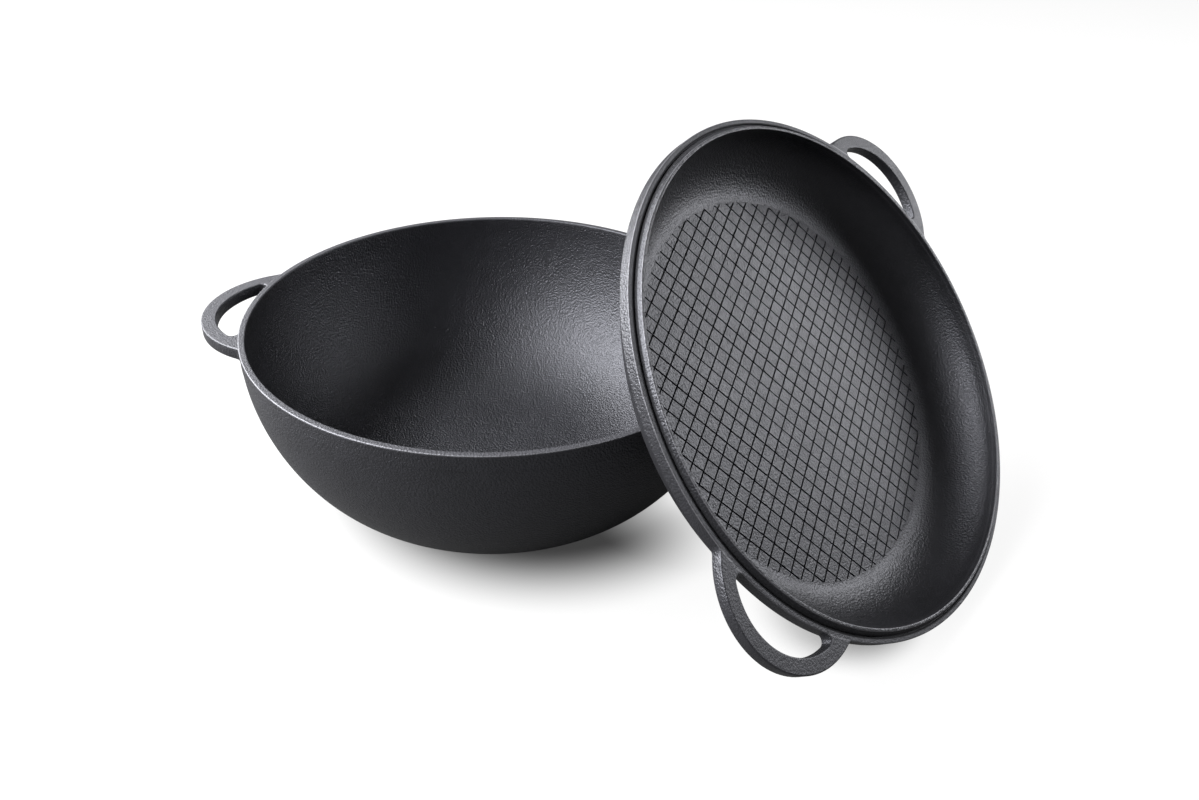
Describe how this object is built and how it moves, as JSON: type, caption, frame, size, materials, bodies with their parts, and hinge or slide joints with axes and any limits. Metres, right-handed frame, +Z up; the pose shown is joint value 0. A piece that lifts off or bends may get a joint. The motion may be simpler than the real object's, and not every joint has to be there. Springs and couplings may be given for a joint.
{
  "type": "cast iron wok with grill pan lid",
  "caption": "Flat-bottomed cast iron wok with two loop handles and a reversible grill pan lid that leans on its rim.",
  "frame": {"origin": "centre of the wok's flat foot, on the surface that the wok and its lid stand on", "axes": "+Z up, +X through the wok's two handles towards the side where the lid leans, +Y away from the viewer"},
  "size_m": [0.6037, 0.4617, 0.2826],
  "materials": {
    "wok_iron": "fine pebbled black cast iron, seasoned, rim ground brighter",
    "wok_handle_iron": "black cast iron, top face a little smoother",
    "lid_iron": "fine pebbled black cast iron, grill floor with cut square grooves",
    "lid_handle_iron": "black cast iron, top face a little smoother"
  },
  "bodies": {
    "wok": {"wok_bowl": "wok_iron", "wok_handle_left": "wok_handle_iron", "wok_handle_right": "wok_handle_iron"},
    "grill_lid": {"grill_lid_pan": "lid_iron", "lid_handle_lower": "lid_handle_iron", "lid_handle_upper": "lid_handle_iron"}
  },
  "joints": [
    {"name": "lid_lift", "type": "slide", "parent": "wok", "child": "grill_lid", "axis": [0, 0, 1], "range_m": [0, 0.3]}
  ]
}
